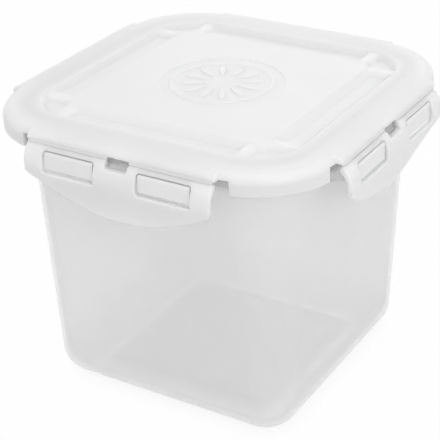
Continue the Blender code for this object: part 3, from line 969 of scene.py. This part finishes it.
class FOODBOX_OT_emblem(Operator):
    """Builds the plain rosette of raised petals in the lid's dish"""

    bl_idname = "foodbox.emblem"
    bl_label = "Build Rosette"

    def execute(self, context):
        sizes = box().emblem
        finish = box().finish
        plastic = milky_plastic("rosette_milky", finish.lid, finish.lid_density, grain=0.5)
        petal = self.petal(sizes)
        tree = Pattern("Petals round a ring", Petals=sizes.petals, Material=plastic)
        points = tree.node("GeometryNodePoints", None, Count=tree.read("Petals"))
        index = tree.node("GeometryNodeInputIndex")
        angle = index * (4 * QUARTER / tree.read("Petals"))
        tree.apply(tree.copies(points, angle), petal)
        smooth_shade(petal, 60.0, weighted=False)
        ride_and_dress(petal, "lid", "lid_plastic", plastic)
        return {"FINISHED"}

    def petal(self, sizes):
        """A low dome on a leaf-shaped outline, with its base just inside the panel."""
        around = 24
        slim, taper, sink = 0.36, 0.28, 0.0002
        middle = (sizes.petal_start + sizes.petal_end) * 0.5
        long_half = (sizes.petal_end - sizes.petal_start) * 0.5
        wide_half = long_half * slim
        base = LID_TOP - sizes.depth - sink
        height = LID_TOP - sizes.petal_drop - base
        rings = []
        for lift in np.linspace(0.0, QUARTER, 5):
            size = 1.0 - taper * (1 - math.cos(lift))
            turns = np.linspace(0.0, 4 * QUARTER, around, endpoint=False)
            along = middle + long_half * size * np.cos(turns)
            across = wide_half * size * np.sin(turns) * (0.75 + 0.25 * np.cos(turns))
            rings.append(np.stack((along, across, np.full(around, base + height * math.sin(lift))), 1))
        return skin("lid_rosette", rings)


class FOODBOX_OT_seal(Operator):
    """Builds the silicone seal, swept round the lid's channel"""

    bl_idname = "foodbox.seal"
    bl_label = "Build Seal"

    def execute(self, context):
        sizes = box().seal
        tub = box().tub
        inner = box().lid.plug_half + sizes.play
        half = (SEAL_HIGH.x + inner) * 0.5
        rubber = silicone("seal_silicone", box().finish.seal)
        tree = Pattern(
            "Profile swept round a rounded square",
            Half_Width=half,
            Corner=half - tub.rim_half + tub.rim_corner,
            Profile_Width=SEAL_HIGH.x - inner,
            Profile_Height=SEAL_HIGH.z - SEAL_LOW.z,
            Bead=sizes.bead,
            Height=(SEAL_HIGH.z + SEAL_LOW.z) * 0.5,
            Corner_Steps=24,
            Bead_Steps=4,
            Material=rubber,
        )
        width = tree.read("Half_Width") * 2.0
        path = self.rounded_rectangle(tree, width, width, "Corner")
        bead = self.rounded_rectangle(tree, tree.read("Profile_Width"), tree.read("Profile_Height"), "Bead")
        swept = tree.node("GeometryNodeCurveToMesh", None, path, bead)
        lift = tree.node("ShaderNodeCombineXYZ", None, Z=tree.read("Height"))
        raised = tree.node("GeometryNodeTransform", None, swept, Translation=lift)
        seal = outwards(tree.apply(raised, new_piece("seal_ring")))
        smooth_shade(seal, 60.0, weighted=False)
        ride_and_dress(seal, "lid", "seal_silicone", rubber, "seal")
        return {"FINISHED"}

    def rounded_rectangle(self, tree, width, height, radius):
        """A closed curve whose corner radius and steps are the tree's inputs of that name."""
        outline = tree.node("GeometryNodeCurvePrimitiveQuadrilateral", None, Width=width, Height=height)
        return tree.node(
            "GeometryNodeFilletCurve",
            {"mode": "POLY"},
            Curve=outline,
            Count=tree.read(radius + "_Steps"),
            Radius=tree.read(radius),
            Limit_Radius=True,
        )


# Flap section: depth below its top edge against how far it bulges, as shares of the two sizes
SECTION_SHARES = (
    (0.0, 0.0),
    (0.03, 0.3),
    (0.08, 0.56),
    (0.155, 0.8),
    (0.24, 0.95),
    (0.32, 1.0),
    (0.412, 0.93),
    (0.51, 0.7),
    (0.63, 0.38),
    (0.77, 0.13),
    (0.89, 0.03),
    (1.0, 0.09),
)
RAIL_INNER_SHARE = 0.65
RAIL_STEPS = 2


def smooth_line(points, steps):
    """A Catmull-Rom curve through the points."""
    points = [np.array(point) for point in points]
    ends = [2 * points[0] - points[1]] + points + [2 * points[-1] - points[-2]]
    line = []
    for a, b, c, d in zip(ends, ends[1:], ends[2:], ends[3:]):
        for t in np.arange(steps) / steps:
            bend = 2 * a - 5 * b + 4 * c - d
            twist = 3 * b - a - 3 * c + d
            line.append(0.5 * (2 * b + (c - a) * t + bend * t * t + twist * t ** 3))
    line.append(points[-1])
    return line


def flap_faces(sizes):
    """The outer and the inner face's lines as (reach past the hinge, height), from the top edge down."""
    bulge = -FLAP_LOW.y - BAR_FACE
    depth = FLAP_HIGH.z - FLAP_LOW.z
    coarse = [np.array((across * bulge, FLAP_HIGH.z - down * depth)) for down, across in SECTION_SHARES]
    moved = []
    for place, point in enumerate(coarse):
        before, after = coarse[max(place - 1, 0)], coarse[min(place + 1, len(coarse) - 1)]
        way = (after - before) / np.linalg.norm(after - before)
        moved.append(point + np.array((way[1], -way[0])) * sizes.thick)
    rail_inner = -sizes.thick * RAIL_INNER_SHARE
    rail = [np.array((rail_inner, FLAP_HIGH.z)), np.array((rail_inner, coarse[RAIL_STEPS][1]))]
    inner = rail + moved[RAIL_STEPS + 1 :]
    outer = [np.minimum(point, (bulge, 1.0)) for point in smooth_line(coarse, 5)]
    return np.array(outer), np.array(smooth_line(inner, 4))


def lip_line(sizes):
    """The flap's lower edge, left to right, with its rounded ends, as (x, height)."""
    half = FLAP_HIGH.x
    side = half - sizes.lip_corner
    low = FLAP_LOW.z
    high = low + sizes.lip_rise
    across_and_up = side ** 2 + sizes.lip_rise ** 2 - sizes.lip_corner ** 2
    radius = across_and_up / (sizes.lip_rise - sizes.lip_corner) / 2
    swing = math.asin(side / (radius - sizes.lip_corner))
    down = -QUARTER
    left = arc((-side, high), sizes.lip_corner, 2 * down, down - swing, 8)
    smile = arc((0.0, low + radius), radius, down - swing, down + swing, 48)[1:-1]
    right = arc((side, high), sizes.lip_corner, down + swing, 0.0, 8)
    return left + smile + right


def window_outline(left, right, low, high, corner, steps=6):
    """A rounded rectangle, anticlockwise."""
    inner_left, inner_right = left + corner, right - corner
    inner_low, inner_high = low + corner, high - corner
    spots = (
        (inner_right, inner_high),
        (inner_left, inner_high),
        (inner_left, inner_low),
        (inner_right, inner_low),
    )
    outline = []
    for place, spot in enumerate(spots):
        outline += arc(spot, corner, QUARTER * place, QUARTER * (place + 1), steps)
    return outline


class FOODBOX_OT_flaps(Operator):
    """Builds the four bulging locking flaps with their windows and smiling lips"""

    bl_idname = "foodbox.flaps"
    bl_label = "Build Flaps"

    def execute(self, context):
        finish = box().finish
        plastic = milky_plastic("flap_milky", finish.flap, finish.flap_density, spread=0.7)
        plate = self.plate(box().flap)
        for turn, side in enumerate(SIDES):
            flap = plate if turn == 0 else new_piece("flap")
            flap.name = "flap_shell_" + side
            if turn:
                flap.data = plate.data.copy()
                flap.data.transform(Matrix.Rotation(QUARTER * turn, 4, "Z"))
            ride_and_dress(flap, "flap_" + side, "flap_plastic", plastic, "flap_" + side)
        return {"FINISHED"}

    def plate(self, sizes):
        """Cuts windows and notch in a flat plate, softens its edges and bends it to the flap's section."""
        top = FLAP_HIGH.z
        half = FLAP_HIGH.x
        plate = extrude_outline("flap", [(half, top), (-half, top)] + lip_line(sizes), 0.0, sizes.thick, "y")
        window_high = top - sizes.window_top
        sill = window_high - sizes.window_height
        notch_low = top - sizes.notch_depth
        over = sizes.thick
        near, far = sizes.window_start, sizes.window_end
        for left, right, low, high, corner in (
            (near, far, sill, window_high, sizes.window_corner),
            (-far, -near, sill, window_high, sizes.window_corner),
            (-sizes.notch_half, sizes.notch_half, notch_low, top + 2 * over, sizes.notch_corner),
        ):
            hole = window_outline(left, right, low, high, corner)
            cut(plate, extrude_outline("hole", hole, -over, 2 * over, "y"))
        soften(plate, sizes.edge, 3, 50.0)
        outer, inner = flap_faces(sizes)
        bm = bmesh.new()
        bm.from_mesh(plate.data)
        for z in outer[1:-1, 1]:
            if min(abs(z - rim) for rim in (sill, window_high, notch_low)) < sizes.edge * 1.3:
                continue
            shape = bm.verts[:] + bm.edges[:] + bm.faces[:]
            height = Vector((0.0, 0.0, z))
            bmesh.ops.bisect_plane(bm, geom=shape, dist=1e-6, plane_co=height, plane_no=height.normalized())
        for vert in bm.verts:
            part = vert.co.y / sizes.thick
            out = np.interp(vert.co.z, outer[::-1, 1], outer[::-1, 0])
            back = np.interp(vert.co.z, inner[::-1, 1], inner[::-1, 0])
            vert.co.y = -BAR_FACE - (out + (back - out) * part)
        bmesh.ops.recalc_face_normals(bm, faces=bm.faces)
        bm.to_mesh(plate.data)
        bm.free()
        return smooth_shade(plate, 40.0)


class FOODBOX_OT_hinges(Operator):
    """Builds the thin round-edged strips that the flaps bend on"""

    bl_idname = "foodbox.hinges"
    bl_label = "Build Hinge Strips"

    def execute(self, context):
        finish = box().finish
        plastic = milky_plastic("web_milky", finish.web, finish.lid_density, roughness=0.36)
        for turn, side in enumerate(SIDES):
            for hand in ("left", "right"):
                strip = self.strip(box().hinge, "hinge_strip_" + side + "_" + hand, hand)
                strip.data.transform(Matrix.Rotation(QUARTER * turn, 4, "Z"))
                node = "hinge_web_" + side + "_" + hand
                ride_and_dress(strip, "hinge_" + side, "web_plastic", plastic, node)
        return {"FINISHED"}

    def strip(self, sizes, name, hand):
        """A strip with soft edges that all but fills the slot between the bar and the flap."""
        low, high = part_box("hinge_web_front_" + hand)
        near = -high.y - sizes.inset
        outline = window_outline(
            near - sizes.thick, near, low.z - sizes.overlap, high.z + sizes.overlap, sizes.edge, 3
        )
        strip = extrude_outline(name, outline, low.x, high.x)
        return smooth_shade(strip, 50.0, weighted=False)


# Soft lamps as (name, place, size, power)
LAMPS = (
    ("key", (1.2, -0.7, 0.75), 0.7, 3.4),
    ("overhead", (0.1, -0.45, 1.45), 1.0, 2.8),
    ("rim", (-0.5, 1.1, 0.5), 0.6, 0.5),
)
LAMP_AIM = Vector((0.0, 0.0, 0.06))


class FOODBOX_OT_studio(Operator):
    """Builds the pale floor, the soft lamps, the sky and the camera"""

    bl_idname = "foodbox.studio"
    bl_label = "Build Studio"

    def execute(self, context):
        scene = context.scene
        scene.view_settings.view_transform = "Standard"
        self.floor(box().studio)
        self.sky(scene, box().studio)
        for lamp in LAMPS:
            self.lamp(*lamp)
        self.camera(scene, box().studio)
        return {"FINISHED"}

    def floor(self, sizes):
        """A pale floor that looks white but for the box's own shadow."""
        half = sizes.floor_half
        corners = [(-half, -half, 0.0), (half, -half, 0.0), (half, half, 0.0), (-half, half, 0.0)]
        floor = new_piece("studio_floor", corners, [(0, 1, 2, 3)])
        finish = Finish("studio_floor", 0.7)
        finish.feed("Base Color", (*box().finish.floor, 1.0))
        foot = box().tub.foot_half - box().tub.foot_round
        inside, outside = 0.004, 0.014
        under_box = 1.0 - finish.reach_mask(foot - inside, foot + outside)
        white = sizes.floor_white - sizes.floor_shadow * under_box
        shader = Value(finish, finish.shader.outputs["BSDF"])
        end = finish.tree.nodes["Material Output"]
        finish.put(end.inputs["Surface"], finish.white_to_the_eye(shader, white))
        floor.data.materials.append(finish.material)

    def sky(self, scene, sizes):
        world = bpy.data.worlds.new("studio_sky")
        scene.world = world
        world.use_nodes = True
        world.node_tree.nodes.clear()
        nodes = Nodes(world.node_tree)
        sky = nodes.node("ShaderNodeBackground", None, Color=(1.0, 1.0, 1.0, 1.0), Strength=sizes.sky)
        end = nodes.tree.nodes.new("ShaderNodeOutputWorld")
        nodes.put(end.inputs["Surface"], nodes.white_to_the_eye(sky, 1.0))

    def lamp(self, name, place, size, power):
        light = bpy.data.lights.new(name, "AREA")
        light.shape = "DISK"
        light.size = size
        light.energy = power
        lamp = bpy.data.objects.new(name, light)
        lamp.location = place
        lamp.rotation_euler = (LAMP_AIM - lamp.location).to_track_quat("-Z", "Y").to_euler()
        bpy.context.scene.collection.objects.link(lamp)

    def camera(self, scene, sizes):
        azimuth, elevation, roll = map(math.radians, (sizes.azimuth, sizes.elevation, sizes.roll))
        away = math.cos(elevation)
        out = Vector((math.sin(azimuth) * away, -math.cos(azimuth) * away, math.sin(elevation)))
        level = Vector((math.cos(azimuth), math.sin(azimuth), 0.0))
        right = level * math.cos(roll) + out.cross(level) * math.sin(roll)
        view = bpy.data.cameras.new("photo_view")
        view.lens = sizes.lens
        view.sensor_width = 36.0
        view.shift_x = sizes.shift_x
        view.shift_y = sizes.shift_y
        view.clip_start = 0.01
        camera = bpy.data.objects.new("photo_view", view)
        spin = Matrix((right, out.cross(right), out)).transposed()
        place = Vector((0.0, 0.0, sizes.aim)) + out * sizes.distance
        camera.matrix_world = Matrix.Translation(place) @ spin.to_4x4()
        scene.collection.objects.link(camera)
        scene.camera = camera


class FOODBOX_PT_panel(Panel):
    """Lists the sizes, the colours and the steps that build the food box"""

    bl_idname = "FOODBOX_PT_panel"
    bl_label = "Food Box"
    bl_space_type = "VIEW_3D"
    bl_region_type = "UI"
    bl_category = "Food Box"

    def draw(self, context):
        for name in FoodBox.__annotations__:
            group = getattr(box(), name)
            part = self.layout.box()
            part.label(text=name.title())
            for size in group.__annotations__:
                part.prop(group, size)
        for step in OPERATORS:
            self.layout.operator(step.bl_idname)


GROUPS = (
    TubSizes,
    TabSizes,
    LidSizes,
    SealSizes,
    EmblemSizes,
    FlapSizes,
    HingeSizes,
    Finishes,
    StudioSizes,
    FoodBox,
)
OPERATORS = (
    FOODBOX_OT_studio,
    FOODBOX_OT_tub,
    FOODBOX_OT_lid,
    FOODBOX_OT_emblem,
    FOODBOX_OT_seal,
    FOODBOX_OT_flaps,
    FOODBOX_OT_hinges,
)
CLASSES = GROUPS + OPERATORS + (FOODBOX_PT_panel,)


def register():
    for listed in CLASSES:
        bpy.utils.register_class(listed)
    bpy.types.Scene.food_box = PointerProperty(type=FoodBox)


def unregister():
    del bpy.types.Scene.food_box
    for listed in reversed(CLASSES):
        bpy.utils.unregister_class(listed)


def main():
    register()
    bpy.ops.foodbox.studio()
    bpy.ops.foodbox.tub()
    bpy.ops.foodbox.lid()
    bpy.ops.foodbox.emblem()
    bpy.ops.foodbox.seal()
    bpy.ops.foodbox.flaps()
    bpy.ops.foodbox.hinges()


if __name__ == "__main__":
    main()
